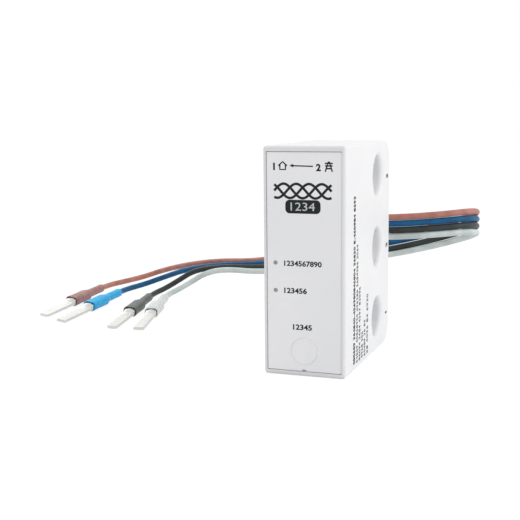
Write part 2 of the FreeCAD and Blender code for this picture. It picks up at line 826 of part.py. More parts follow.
def rounded_section(width, height, corner, y, z):
    """Rounded rectangle square to Y."""
    w = width / 2
    h = height / 2
    return rounded_outline([(-w, -h), (w, -h), (w, h), (-w, h)], [corner] * 4,
                           lambda u, v: V(u, y, z + v))


def at_lead_end(shape, colour):
    """Turn a terminal piece along the end of its lead and move it there."""
    before, end = route_points(colour)[-2:]
    turn = math.degrees(math.atan2(end.x - before.x, before.y - end.y))
    shape.rotate(V(0, 0, sleeve_axis_z), V(0, 1, 0), terminal_rolls[colour])
    shape.rotate(V(0, 0, sleeve_axis_z), V(1, 0, 0), terminal_slope)
    shape.rotate(V(0, 0, 0), V(0, 0, 1), turn)
    shape.translate(V(end.x, end.y, end.z - sleeve_axis_z))
    return shape


def sleeve(colour):
    """Soft insulating sleeve, round on the lead and flared over the terminal."""
    rear = (sleeve_rear_size, sleeve_rear_size, sleeve_rear_corner)
    front = (sleeve_front_width, sleeve_front_height, sleeve_front_corner)
    stations = [(rear, 0), (rear, -sleeve_rear_length),
                (front, -sleeve_rear_length - sleeve_taper_length), (front, -sleeve_length)]
    body = Part.makeLoft([rounded_section(*size, y, sleeve_axis_z) for size, y in stations],
                         True, True)
    pocket = Part.Face(rounded_section(sleeve_front_width - 2 * sleeve_wall,
                                       sleeve_front_height - 2 * sleeve_wall,
                                       sleeve_front_corner - sleeve_wall,
                                       -sleeve_length - overshoot, sleeve_axis_z))
    body = body.cut(pocket.extrude(V(0, overshoot + sleeve_pocket_depth, 0)))
    return at_lead_end(body, colour)


def terminal(colour):
    """Flat blade with its crimp barrel, which rises from ramps in front of the sleeve."""
    base_z = sleeve_axis_z - sleeve_front_height / 2 + sleeve_wall + blade_seat
    mouth_y = -sleeve_length
    rear_end = mouth_y + sleeve_pocket_depth
    tip = mouth_y - blade_exposed
    half = blade_width / 2
    tip_radius = blade_tips[colour]
    outline = rounded_outline([(-half, tip), (half, tip), (half, rear_end), (-half, rear_end)],
                              [tip_radius] * 2 + [blade_rear_radius] * 2,
                              lambda u, v: V(u, v, base_z))
    blade = Part.Face(outline).extrude(V(0, 0, blade_thickness))
    tip_edges = [edge for edge in blade.Edges
                 if edge.BoundBox.YMin < tip + same_place and edge.BoundBox.ZLength < same_place]
    blade = blade.makeFillet(blade_tip_softness, tip_edges)
    flat_z = base_z + blade_thickness
    top_z = base_z + barrel_height
    side = Part.Face(Part.makePolygon([
        V(0, mouth_y - barrel_ramp_start, base_z), V(0, mouth_y - barrel_ramp_start, flat_z),
        V(0, mouth_y + barrel_ramp_end, top_z), V(0, rear_end, top_z),
        V(0, rear_end, base_z), V(0, mouth_y - barrel_ramp_start, base_z)]))
    for low, inward in ((-half, 1), (half, -1)):
        wall_side = side.extrude(V(inward * barrel_wall, 0, 0))
        wall_side.translate(V(low, 0, 0))
        fold = (blade_width - barrel_seam) / 2
        low_x, high_x = sorted((low, low + inward * fold))
        blade = blade.fuse(wall_side)
        blade = blade.fuse(block(low_x, high_x, mouth_y + barrel_ramp_end,
                                 mouth_y + barrel_ramp_end + barrel_length,
                                 top_z - barrel_wall, top_z))
    return at_lead_end(blade.removeSplitter(), colour)


def build():
    """All pieces by name."""
    shell = soften_sides(envelope(0))
    cavity = envelope(wall)
    pieces = {
        "housing_body": housing_body(shell, cavity),
        "side_cover": side_cover(shell, cavity),
        "front_panel": front_panel(),
        "reset_button": reset_button(),
        "switch_plunger": switch_plunger(),
        "switch_case": switch_case(),
        "display_board": display_board(),
        "main_board": main_board(),
        "header_block": header_block(),
        "header_pins": Part.makeCompound([header_pin(z, 0) for z in pin_heights()]),
        "ct_leads": ct_leads(),
        "metering_chip": metering_chip(),
        "crystal": crystal(),
        "radio_board": radio_board(),
        "radio_shield": radio_shield(),
        "film_capacitor": film_capacitor(),
        "smoothing_capacitors": smoothing_capacitors(),
        "varistors": varistors(),
        "fuse_resistors": fuse_resistors(),
        "wire_comb": wire_comb(),
        "wire_tails": wire_tails(),
    }
    for number, z in enumerate(lamp_heights, 1):
        pieces["light_pipe_%d" % number] = light_pipe(z)
        pieces["status_lamp_%d" % number] = status_lamp(z)
    for number, z in enumerate(tunnel_heights, 1):
        pieces["ct_core_%d" % number] = ct_core(z)
        pieces["ct_winding_%d" % number] = ct_winding(z)
    for colour in lead_routes:
        pieces["lead_" + colour] = lead(colour)
        pieces["sleeve_" + colour] = sleeve(colour)
        pieces["terminal_" + colour] = terminal(colour)
    return pieces


os.makedirs("parts", exist_ok=True)
for name, shape in build().items():
    print("%-22s solids %d valid %s volume %.2f" % (name, len(shape.Solids), shape.isValid(),
                                                    shape.Volume))
    shape.exportStep("parts/%s.step" % name)
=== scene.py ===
"""Looks of a slim three-phase energy meter with four fitted voltage leads.

All places are in metres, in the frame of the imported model: X runs across the thin width,
Y runs from the front face to the rear face, and Z is up. Sizes are named in millimetres.
"""

import sys

import json
import logging
import math
from dataclasses import dataclass
from enum import Enum
from typing import Optional, Sequence

import bmesh
import bpy
from mathutils import Matrix, Vector


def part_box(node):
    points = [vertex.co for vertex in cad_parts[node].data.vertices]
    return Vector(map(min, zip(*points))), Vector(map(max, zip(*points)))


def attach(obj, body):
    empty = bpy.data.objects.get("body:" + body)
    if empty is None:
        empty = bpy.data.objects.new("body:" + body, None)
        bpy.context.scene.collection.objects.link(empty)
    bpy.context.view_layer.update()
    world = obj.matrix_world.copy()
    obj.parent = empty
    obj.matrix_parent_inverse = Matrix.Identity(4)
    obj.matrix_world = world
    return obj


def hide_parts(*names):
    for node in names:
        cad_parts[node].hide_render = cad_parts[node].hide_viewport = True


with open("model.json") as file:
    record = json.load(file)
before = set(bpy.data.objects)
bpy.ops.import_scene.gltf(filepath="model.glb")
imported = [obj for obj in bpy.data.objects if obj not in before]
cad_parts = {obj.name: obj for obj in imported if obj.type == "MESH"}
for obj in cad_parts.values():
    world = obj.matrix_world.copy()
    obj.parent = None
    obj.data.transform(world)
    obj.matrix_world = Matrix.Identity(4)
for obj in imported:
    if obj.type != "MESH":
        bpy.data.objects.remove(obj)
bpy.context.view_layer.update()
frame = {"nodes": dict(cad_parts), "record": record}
log = logging.getLogger("energy_meter")

MM = 0.001
Socket = bpy.types.NodeSocket
Point = tuple[float, float, float]


class Body(Enum):
    """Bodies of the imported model."""

    ENCLOSURE = "enclosure"
    BUTTON = "button"


class Phase(Enum):
    """The four voltage leads, by the colour of their insulation."""

    BROWN = "brown"
    BLUE = "blue"
    BLACK = "black"
    GREY = "grey"


class Relief(Enum):
    """Kinds of fine surface relief, by the texture node that draws them."""

    GRAIN = "ShaderNodeTexNoise"
    CELLS = "ShaderNodeTexVoronoi"
    TURNS = "ShaderNodeTexWave"


class Face(Enum):
    """Outer faces of the housing that carry print, with the turn that lays text on them."""

    FRONT = (Vector((1, 0, 0)), Vector((0, 0, 1)))
    RIGHT_UPWARD = (Vector((0, 0, 1)), Vector((0, -1, 0)))

    def turn(self) -> Matrix:
        """Returns the rotation from flat text to this face."""
        along, upward = self.value
        return Matrix((along, upward, along.cross(upward))).transposed().to_4x4()


def linear(colour: str) -> tuple[float, float, float, float]:
    """Turns an sRGB hex colour into linear light.

    Args:
        colour: Colour such as "#f2f2f2".

    Returns:
        Linear red, green, blue and an alpha of 1.
    """
    values = [int(colour[i:i + 2], 16) / 255 for i in (1, 3, 5)]
    red, green, blue = [v / 12.92 if v <= 0.04045 else ((v + 0.055) / 1.055) ** 2.4
                        for v in values]
    return red, green, blue, 1.0


def add_node(tree: bpy.types.NodeTree, kind: str, settings: Optional[dict] = None,
             links: Optional[dict] = None) -> bpy.types.Node:
    """Adds one shader node with its settings and links.

    Args:
        tree: Node tree that gets the node.
        kind: Type of the node.
        settings: Values by property name, or by the name or number of an input.
        links: Sockets that feed the node, by the name or number of its input.

    Returns:
        The new node.
    """
    node = tree.nodes.new(kind)
    for key, value in (settings or {}).items():
        if isinstance(key, str) and hasattr(node, key):
            setattr(node, key, value)
        else:
            node.inputs[key].default_value = value
    for key, socket in (links or {}).items():
        tree.links.new(socket, node.inputs[key])
    return node


@dataclass(frozen=True)
class Finish:
    """Procedural finish of one real material.

    Attributes:
        name: Common name of the material and of how its surface was made.
        colour: Main colour.
        tint: Colour that drifts in over patches of the surface.
        patch_mm: Size of those patches.
        drift: Share of the tint where it is strongest.
        roughness: Mean roughness.
        uneven: How far the roughness wanders to either side.
        relief: Kind of fine relief.
        grain_mm: Spacing of the relief.
        depth_mm: Depth of the relief.
        metallic: 1 for bare metal.
        ior: Index of refraction of a material that isn't metal.
        edge_mm: Radius that sharp edges catch the light with.
        clear: Share of light that passes through.
        stretch: Scale of the relief along X, Y and Z.
    """

    name: str
    colour: str
    tint: str
    patch_mm: float
    drift: float
    roughness: float
    uneven: float
    relief: Relief
    grain_mm: float
    depth_mm: float
    metallic: float = 0.0
    ior: float = 1.5
    edge_mm: float = 0.0
    clear: float = 0.0
    stretch: Point = (1.0, 1.0, 1.0)

    def material(self) -> bpy.types.Material:
        """Returns the Blender material of this finish, made on first use."""
        made = bpy.data.materials.get(self.name)
        if made is None:
            made = bpy.data.materials.new(self.name)
            made.use_nodes = True
            self.build(made.node_tree)
        return made

    def place(self, tree: bpy.types.NodeTree) -> Socket:
        """Returns the object coordinates that the patterns are laid out on."""
        return add_node(tree, "ShaderNodeTexCoord").outputs["Object"]

    def hue(self, tree: bpy.types.NodeTree, place: Socket) -> Socket:
        """Returns the colour with its patches of tint."""
        patches = add_node(tree, "ShaderNodeTexNoise",
                           {"Scale": 1 / (self.patch_mm * MM), "Detail": 1.0},
                           {"Vector": place})
        share = add_node(tree, "ShaderNodeMapRange",
                         {"From Min": 0.35, "From Max": 0.65, "To Max": self.drift},
                         {"Value": patches.outputs[0]})
        mix = add_node(tree, "ShaderNodeMix",
                       {"data_type": "RGBA", 6: linear(self.colour), 7: linear(self.tint)},
                       {0: share.outputs[0]})
        return mix.outputs[2]

    def surface(self, tree: bpy.types.NodeTree, place: Socket) -> tuple[Socket, Socket]:
        """Returns the wandering roughness and the normal with its fine relief."""
        stretched = add_node(tree, "ShaderNodeMapping", {"Scale": self.stretch},
                             {"Vector": place})
        texture = add_node(tree, self.relief.value, {"Scale": 1 / (self.grain_mm * MM)},
                           {"Vector": stretched.outputs[0]})
        wander = add_node(tree, "ShaderNodeMapRange",
                          {"To Min": self.roughness - self.uneven,
                           "To Max": self.roughness + self.uneven},
                          {"Value": texture.outputs[0]})
        bump = add_node(tree, "ShaderNodeBump", {"Strength": 1.0, "Distance": self.depth_mm * MM},
                        {"Height": texture.outputs[0]})
        if self.edge_mm:
            edge = add_node(tree, "ShaderNodeBevel", {"samples": 6, "Radius": self.edge_mm * MM})
            tree.links.new(edge.outputs[0], bump.inputs["Normal"])
        return wander.outputs[0], bump.outputs[0]

    def build(self, tree: bpy.types.NodeTree) -> None:
        """Fills the tree of a new material.

        Args:
            tree: Tree of a material that uses nodes.
        """
        shader = tree.nodes["Principled BSDF"]
        place = self.place(tree)
        roughness, normal = self.surface(tree, place)
        tree.links.new(self.hue(tree, place), shader.inputs["Base Color"])
        tree.links.new(roughness, shader.inputs["Roughness"])
        tree.links.new(normal, shader.inputs["Normal"])
        shader.inputs["Metallic"].default_value = self.metallic
        shader.inputs["Transmission Weight"].default_value = self.clear
        if not self.metallic:
            shader.inputs["IOR"].default_value = self.ior


@dataclass(frozen=True)
class ShellFinish(Finish):
    """Finish of the housing, with painted shade on its front rim and on the walls of its tunnels.

    Attributes:
        rim_colour: Colour of the painted shade on the front rim.
        rim_y: Where the painted shade of the rim starts and where it has faded, in mm.
        bore_colour: Colour of the painted shade on the walls of the tunnels.
        bore_y: Place of the tunnels' axes along Y in mm.
        bore_z: Height of the lowest axis in mm.
        bore_pitch: Spacing of the axes in mm.
        bore_reach: Radius of the wall, and radius where its painted shade has faded, in mm.
    """

    rim_colour: str = "#e2e2e4"
    rim_y: tuple[float, float] = (-21.9, -21.1)
    bore_colour: str = "#d2d3dc"
    bore_y: float = 9.25
    bore_z: float = 8.5
    bore_pitch: float = 18.0
    bore_reach: tuple[float, float] = (3.3, 4.25)

    def hue(self, tree: bpy.types.NodeTree, place: Socket) -> Socket:
        """Returns the colour of the housing with painted shade on its rim and in its tunnels."""
        plain = Finish.hue(self, tree, place)
        split = add_node(tree, "ShaderNodeSeparateXYZ", None, {0: place})
        # Painted shade on the front rim of the housing
        rim = add_node(tree, "ShaderNodeMapRange",
                       {"From Min": self.rim_y[0] * MM, "From Max": self.rim_y[1] * MM,
                        "To Min": 1.0, "To Max": 0.0}, {"Value": split.outputs["Y"]})
        rim_shaded = add_node(tree, "ShaderNodeMix",
                          {"data_type": "RGBA", 7: linear(self.rim_colour)},
                          {0: rim.outputs[0], 6: plain})
        # Painted shade on the walls of the tunnels, fading out towards their mouths
        across = add_node(tree, "ShaderNodeMath",
                          {"operation": "SUBTRACT", 1: self.bore_y * MM},
                          {0: split.outputs["Y"]})
        lifted = add_node(tree, "ShaderNodeMath",
                          {"operation": "SUBTRACT", 1: self.bore_z * MM},
                          {0: split.outputs["Z"]})
        half = self.bore_pitch / 2 * MM
        up = add_node(tree, "ShaderNodeMath", {"operation": "WRAP", 1: half, 2: -half},
                      {0: lifted.outputs[0]})
        arm = add_node(tree, "ShaderNodeCombineXYZ", None,
                       {"Y": across.outputs[0], "Z": up.outputs[0]})
        radius = add_node(tree, "ShaderNodeVectorMath", {"operation": "LENGTH"},
                          {0: arm.outputs[0]})
        bore = add_node(tree, "ShaderNodeMapRange",
                        {"From Min": self.bore_reach[0] * MM, "From Max": self.bore_reach[1] * MM,
                         "To Min": 1.0, "To Max": 0.0}, {"Value": radius.outputs["Value"]})
        tunnel_shaded = add_node(tree, "ShaderNodeMix",
                         {"data_type": "RGBA", 7: linear(self.bore_colour)},
                         {0: bore.outputs[0], 6: rim_shaded.outputs[2]})
        return tunnel_shaded.outputs[2]


# Moulded in a spark-eroded tool: soft white with a fine even grain and no gloss, with painted
# shade on its front rim and in its tunnels
HOUSING = ShellFinish("abs_white_spark_grain", "#f1f1f2", "#ebecee", 14.0, 0.5, 0.52, 0.06,
                      Relief.GRAIN, 0.16, 0.004, ior=1.53, edge_mm=0.18)
# Screen-printed polycarbonate film: smoother and a little glossier than the housing
LABEL = Finish("polycarbonate_label_film", "#f0f0f2", "#e9eaed", 18.0, 0.5, 0.34, 0.05,
               Relief.GRAIN, 0.5, 0.002, ior=1.58, edge_mm=0.08)
# Moulded button: the same white with a finer, closed surface
BUTTON = Finish("abs_white_button_satin", "#f0f0f1", "#eaebed", 5.0, 0.5, 0.4, 0.05,
                Relief.GRAIN, 0.2, 0.002, ior=1.53, edge_mm=0.08)
# Clear polycarbonate rod with nothing lit behind it: smoky grey
LIGHT_GUIDE = Finish("polycarbonate_light_guide", "#aeb2b4", "#8c9093", 0.6, 0.6, 0.12, 0.04,
                     Relief.GRAIN, 0.1, 0.001, ior=1.58, clear=0.25)
# Screen-print ink: flat near-black with a trace of blue, a little raised
INK = Finish("screen_print_ink_black", "#12181a", "#1b2224", 0.8, 0.7, 0.5, 0.1,
             Relief.GRAIN, 0.08, 0.002, ior=1.33)
INK_FINE = Finish("pad_print_ink_grey", "#14181b", "#2b3033", 0.5, 0.8, 0.55, 0.1,
                  Relief.GRAIN, 0.08, 0.002, ior=1.33)
# Painted shadow line round the rim that each light guide sits in
LAMP_SHADOW_RING = Finish("painted_shadow_ring_grey", "#9fa3a6", "#8f9396", 0.5, 0.6, 0.4, 0.1,
                 Relief.GRAIN, 0.08, 0.001)
# Thin moulded lip that closes a gap between two white mouldings
LIP = Finish("elastomer_lip_white", "#f2f2f4", "#eaebed", 2.0, 0.6, 0.5, 0.06,
             Relief.GRAIN, 0.15, 0.002)
# Pale ink over the dark badge, dulled by the dark that shows through it
INK_WHITE = Finish("screen_print_ink_white", "#c9cdcc", "#bbc0bf", 0.8, 0.6, 0.5, 0.1,
                   Relief.GRAIN, 0.08, 0.002)
# Green solder mask over copper: glossy, with the tracks showing as faint ridges
BOARD = Finish("epoxy_glass_green_mask", "#1d5a37", "#2a7247", 1.6, 1.0, 0.3, 0.08,
               Relief.CELLS, 1.3, 0.02, ior=1.55)
# Filled nylon and epoxy moulding: dull black with a dry grain
BLACK_PLASTIC = Finish("nylon_black_moulded", "#1b1c1e", "#2a2b2d", 1.5, 0.6, 0.48, 0.08,
                       Relief.GRAIN, 0.1, 0.003, ior=1.53)
# Tin plate on stamped brass: pale, softly bright, with faint rolling marks along the strip
TINNED = Finish("tin_plated_brass", "#d6d6d2", "#cfd0cc", 2.0, 0.8, 0.44, 0.02,
                Relief.GRAIN, 0.3, 0.0002, metallic=1.0, edge_mm=0.08,
                stretch=(1.0, 0.25, 1.0))
# Drawn steel sheet: neutral grey, bright, with a slight orange peel
STEEL_CAN = Finish("drawn_steel_can", "#b9bbbc", "#a6a8aa", 2.5, 0.6, 0.26, 0.06,
                   Relief.GRAIN, 0.3, 0.003, metallic=1.0, edge_mm=0.1)
# Boxed film capacitor: glossy yellow moulding
FILM_BOX = Finish("polyester_box_yellow", "#c9a53a", "#b8922c", 3.0, 0.5, 0.3, 0.06,
                  Relief.GRAIN, 0.2, 0.002, edge_mm=0.15)
# Shrunk sleeve on the cans: dark and glossy
CAN_SLEEVE = Finish("shrunk_pet_sleeve", "#1c222c", "#2a3340", 2.0, 0.6, 0.25, 0.06,
                    Relief.GRAIN, 0.4, 0.004, edge_mm=0.15)
# Dipped epoxy: uneven blue gloss
VARISTOR = Finish("dipped_epoxy_blue", "#20488f", "#2d5aa5", 1.2, 0.8, 0.28, 0.08,
                  Relief.GRAIN, 0.9, 0.05, edge_mm=0.25)
# Flameproof paint on the resistors: dull grey-green
RESISTOR = Finish("flameproof_coat_green", "#7d9c92", "#6d8c82", 1.2, 0.7, 0.55, 0.08,
                  Relief.GRAIN, 0.5, 0.03, edge_mm=0.2)
# Wound alloy strip: dark grey with the edges of its layers
CORE = Finish("wound_alloy_strip", "#55595c", "#44484b", 1.0, 0.6, 0.38, 0.08,
              Relief.TURNS, 0.5, 0.01, metallic=1.0, edge_mm=0.2)
# Enamelled wire side by side: copper turns under a clear coat
COPPER = Finish("enamelled_copper_turns", "#b5693f", "#9a5230", 0.8, 0.8, 0.32, 0.08,
                Relief.TURNS, 0.35, 0.03, metallic=1.0, edge_mm=0.1)
# White lens of a lamp chip
LAMP = Finish("lamp_chip_white", "#efeee4", "#e2e0cf", 0.6, 0.6, 0.35, 0.05,
              Relief.GRAIN, 0.1, 0.002)


def insulation(name: str, colour: str, tint: str) -> Finish:
    """Soft extruded PVC on stranded wire: a satin skin that follows the strands faintly."""
    return Finish(name, colour, tint, 3.5, 0.8, 0.44, 0.06, Relief.GRAIN, 0.6, 0.012, ior=1.36)


def tubing(name: str, colour: str, tint: str) -> Finish:
    """Soft moulded PVC sleeve: duller than the lead, with shallow dents from handling."""
    return Finish(name, colour, tint, 2.4, 0.8, 0.46, 0.05, Relief.GRAIN, 1.4, 0.02, ior=1.4)


INSULATION = {
    Phase.BROWN: insulation("pvc_insulation_brown", "#be8072", "#a46c60"),
    Phase.BLUE: insulation("pvc_insulation_blue", "#045c8e", "#044870"),
    Phase.BLACK: insulation("pvc_insulation_black", "#343c3c", "#272e2e"),
    Phase.GREY: insulation("pvc_insulation_grey", "#d3dbd9", "#bcc7c5"),
}
TUBING = {
    Phase.BROWN: tubing("pvc_sleeve_brown", "#aa7c74", "#946560"),
    Phase.BLUE: tubing("pvc_sleeve_sky_blue", "#12b2ea", "#0aa2dc"),
    Phase.BLACK: tubing("pvc_sleeve_charcoal", "#616665", "#545958"),
    Phase.GREY: tubing("pvc_sleeve_pale_grey", "#dbe0de", "#cdd4d2"),
}
# Painted shade inside the sleeves: darker copies of each sleeve colour, seen through the mouth
SLEEVE_INSIDE_SHADE = {
    Phase.BROWN: tubing("pvc_sleeve_painted_inside_shade_brown", "#58393a", "#4b2f30"),
    Phase.BLUE: tubing("pvc_sleeve_painted_inside_shade_blue", "#0a5f80", "#084f6c"),
    Phase.BLACK: tubing("pvc_sleeve_painted_inside_shade_charcoal", "#242727", "#1c1f1f"),
    Phase.GREY: tubing("pvc_sleeve_painted_inside_shade_grey", "#6a6f6f", "#5b6060"),
}


def dress(node: str, finish: Finish) -> None:
    """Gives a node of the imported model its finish.

    Args:
        node: Name of the node.
        finish: Finish for all its faces.
    """
    piece = frame["nodes"][node]
    if not piece.material_slots:
        piece.data.materials.append(None)
    for slot in piece.material_slots:
        slot.material = finish.material()
    log.info("dressed %s in %s", node, finish.name)


def add_piece(name: str, mesh: bpy.types.Mesh, finishes: Sequence[Finish], body: Body,
              smooth: bool = True) -> bpy.types.Object:
    """Adds a finished mesh to the object.

    Args:
        name: Name of the piece.
        mesh: Mesh in its place, in metres.
        finishes: Finishes by material index.
        body: Body that the piece moves with.
        smooth: Whether soft edges are shaded round.

    Returns:
        The new object, at the origin.
    """
    mesh.name = name
    mesh.materials.clear()
    for finish in finishes:
        mesh.materials.append(finish.material())
    piece = bpy.data.objects.new(name, mesh)
    bpy.context.scene.collection.objects.link(piece)
    if smooth:
        mesh.shade_smooth()
        mesh.set_sharp_from_angle(angle=math.radians(40))
    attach(piece, body.value)
    log.info("added %s with %d faces", name, len(mesh.polygons))
    return piece


def mesh_of(bm: bmesh.types.BMesh, name: str) -> bpy.types.Mesh:
    """Turns a bmesh into a mesh with its normals outwards, and frees it."""
    bmesh.ops.remove_doubles(bm, verts=bm.verts, dist=1e-7)
    bmesh.ops.recalc_face_normals(bm, faces=bm.faces)
    mesh = bpy.data.meshes.new(name)
    bm.to_mesh(mesh)
    bm.free()
    return mesh


def mesh_of_curve(curve: bpy.types.Curve) -> bpy.types.Mesh:
    """Turns a curve or text into a mesh, and removes it."""
    holder = bpy.data.objects.new("holder", curve)
    bpy.context.scene.collection.objects.link(holder)
    bpy.context.view_layer.update()
    mesh = bpy.data.meshes.new_from_object(holder)
    bpy.data.objects.remove(holder)
    bpy.data.curves.remove(curve)
    return mesh


def joined(meshes: Sequence[bpy.types.Mesh], name: str) -> bpy.types.Mesh:
    """Joins several meshes into one and removes them.

    Args:
        meshes: Meshes in their places.
        name: Name of the joined mesh.

    Returns:
        One mesh with all their faces.
    """
    bm = bmesh.new()
    for mesh in meshes:
        bm.from_mesh(mesh)
        bpy.data.meshes.remove(mesh)
    return mesh_of(bm, name)


@dataclass(frozen=True)
class Printer:
    """Prints flat marks on one face of the housing.

    Attributes:
        face: Face that takes the print.
        origin: A point on that face, where print places are measured from.
        ink_mm: Thickness of the ink.
    """

    face: Face
    origin: Vector
    ink_mm: float = 0.02

    def lay(self, mesh: bpy.types.Mesh, across: float, up: float) -> bpy.types.Mesh:
        """Moves a flat mesh from the drawing plane to its place on the face."""
        drawn = Matrix.Translation((across * MM, up * MM, 0))
        mesh.transform(Matrix.Translation(self.origin) @ self.face.turn() @ drawn)
        return mesh

    def digits(self, text: str, across: tuple[float, float], up: tuple[float, float],
               weight: float = 0.0, spacing: float = 1.0) -> bpy.types.Mesh:
        """Prints plain digits in a box: a row fills it, a single digit keeps its shape.

        Args:
            text: Digits and spaces.
            across: Left and right ends in mm.
            up: Lower and upper ends in mm.
            weight: How much bolder than the plain face, as a share of its height.
            spacing: Room that each digit takes, 1 for the plain face.

        Returns:
            The print in its place.
        """
        curve = bpy.data.curves.new("digits", "FONT")
        curve.body = text
        curve.offset = weight
        curve.space_character = spacing
        curve.resolution_u = 3
        curve.extrude = 1.0
        mesh = mesh_of_curve(curve)
        low = Vector([min(v.co[i] for v in mesh.vertices) for i in range(3)])
        high = Vector([max(v.co[i] for v in mesh.vertices) for i in range(3)])
        size = high - low
        rise = (up[1] - up[0]) * MM / size.y
        spread = rise if len(text) == 1 else (across[1] - across[0]) * MM / size.x
        fit = Matrix.Diagonal((spread, rise, self.ink_mm * MM / size.z, 1))
        mesh.transform(fit @ Matrix.Translation(-low))
        margin = ((across[1] - across[0]) - spread * size.x / MM) / 2
        return self.lay(mesh, across[0] + margin, up[0])

    def strokes(self, lines: Sequence[Sequence[tuple[float, float]]], width: float,
                closed: bool = False) -> bpy.types.Mesh:
        """Prints lines of an even width with round ends.

        Args:
            lines: Points of each line in mm.
            width: Width of the line in mm.
            closed: Whether each line comes back to its first point.

        Returns:
            The print in its place.
        """
        curve = bpy.data.curves.new("strokes", "CURVE")
        curve.dimensions = "3D"
        curve.bevel_depth = width * MM / 2
        curve.bevel_resolution = 2
        curve.use_fill_caps = True
        for line in lines:
            spline = curve.splines.new("POLY")
            spline.points.add(len(line) - 1)
            spline.use_cyclic_u = closed
            for point, (across, up) in zip(spline.points, line):
                point.co = (across * MM, up * MM, 0, 1)
        mesh = mesh_of_curve(curve)
        mesh.transform(Matrix.Scale(2 * self.ink_mm / width, 4, Vector((0, 0, 1))))
        return self.lay(mesh, 0, 0)

    def patch(self, across: tuple[float, float], up: tuple[float, float],
              corner: float) -> bpy.types.Mesh:
        """Prints a filled rectangle with round corners.

        Args:
            across: Left and right ends in mm.
            up: Lower and upper ends in mm.
            corner: Radius of the corners in mm.

        Returns:
            The print in its place.
        """
        bm = bmesh.new()
        bmesh.ops.create_grid(bm, x_segments=1, y_segments=1, size=0.5)
        bmesh.ops.scale(bm, verts=bm.verts,
                        vec=((across[1] - across[0]) * MM, (up[1] - up[0]) * MM, 1))
        bmesh.ops.bevel(bm, geom=bm.verts[:], offset=corner * MM, segments=8, profile=0.5,
                        affect="VERTICES", material=-1)
        raised = bmesh.ops.extrude_face_region(bm, geom=bm.faces[:])["geom"]
        bmesh.ops.translate(bm, verts=[v for v in raised if isinstance(v, bmesh.types.BMVert)],
                            vec=(0, 0, self.ink_mm * MM))
        return self.lay(mesh_of(bm, "patch"), sum(across) / 2, sum(up) / 2)


def lathe(profile: Sequence[tuple[float, float]], centre: Vector, steps: int) -> bpy.types.Mesh:
    """Turns a closed profile round an axis along Y.

    Args:
        profile: Radius and Y of each point in mm, in order round the section.
        centre: Point on the axis.
        steps: Steps in the full turn.

    Returns:
        The ring in its place.
    """
    bm = bmesh.new()
    verts = [bm.verts.new(centre + Vector((radius * MM, y * MM, 0))) for radius, y in profile]
    edges = [bm.edges.new(pair) for pair in zip(verts, verts[1:] + verts[:1])]
    bmesh.ops.spin(bm, geom=verts + edges, cent=centre, axis=(0, 1, 0), angle=math.tau,
                   steps=steps, use_merge=True, use_duplicate=False)
    return mesh_of(bm, "ring")


def oval(distance: float, width: float, rise: float, square: float,
         around: int = 48) -> list[Point]:
    """Lays out one rounded section of a sleeve.

    Args:
        distance: How far in front of the lead's end the section lies, in mm.
        width: Full width in mm.
        rise: Full height in mm.
        square: 2 for an ellipse, more for squarer corners.
        around: Number of points.

    Returns:
        Points round the section.
    """
    points = []
    for i in range(around):
        angle = math.tau * i / around
        across, up = math.cos(angle), math.sin(angle)
        reach = (abs(across) ** square + abs(up) ** square) ** (-1 / square)
        points.append((width / 2 * reach * across, -distance, rise / 2 * reach * up))
    return points


def loft(rings: Sequence[Sequence[Point]], inside_shade_from: Optional[int] = None) -> bpy.types.Mesh:
    """Lays a grid over closed rings of points and closes both ends.

    Args:
        rings: Rings with the same number of points, in mm.
        inside_shade_from: Number of the ring that the second material starts at.

    Returns:
        The closed skin.
    """
    ends = []
    for ring in (rings[0], rings[-1]):
        middle = sum((Vector(point) for point in ring), Vector()) / len(ring)
        ends.append([tuple(middle)] * len(ring))
    rings = [ends[0], *rings, ends[1]]
    last = len(rings) - 1
    around = len(rings[0])
    bm = bmesh.new()
    bmesh.ops.create_grid(bm, x_segments=around, y_segments=last, size=1.0)
    for face in bm.faces:
        row = (face.calc_center_median().y + 1) / 2 * last
        face.material_index = int(inside_shade_from is not None and row > inside_shade_from + 1)
    for vert in bm.verts:
        row = round((vert.co.y + 1) / 2 * last)
        column = round((vert.co.x + 1) / 2 * around) % around
        vert.co = Vector(rings[row][column]) * MM
    return mesh_of(bm, "loft")


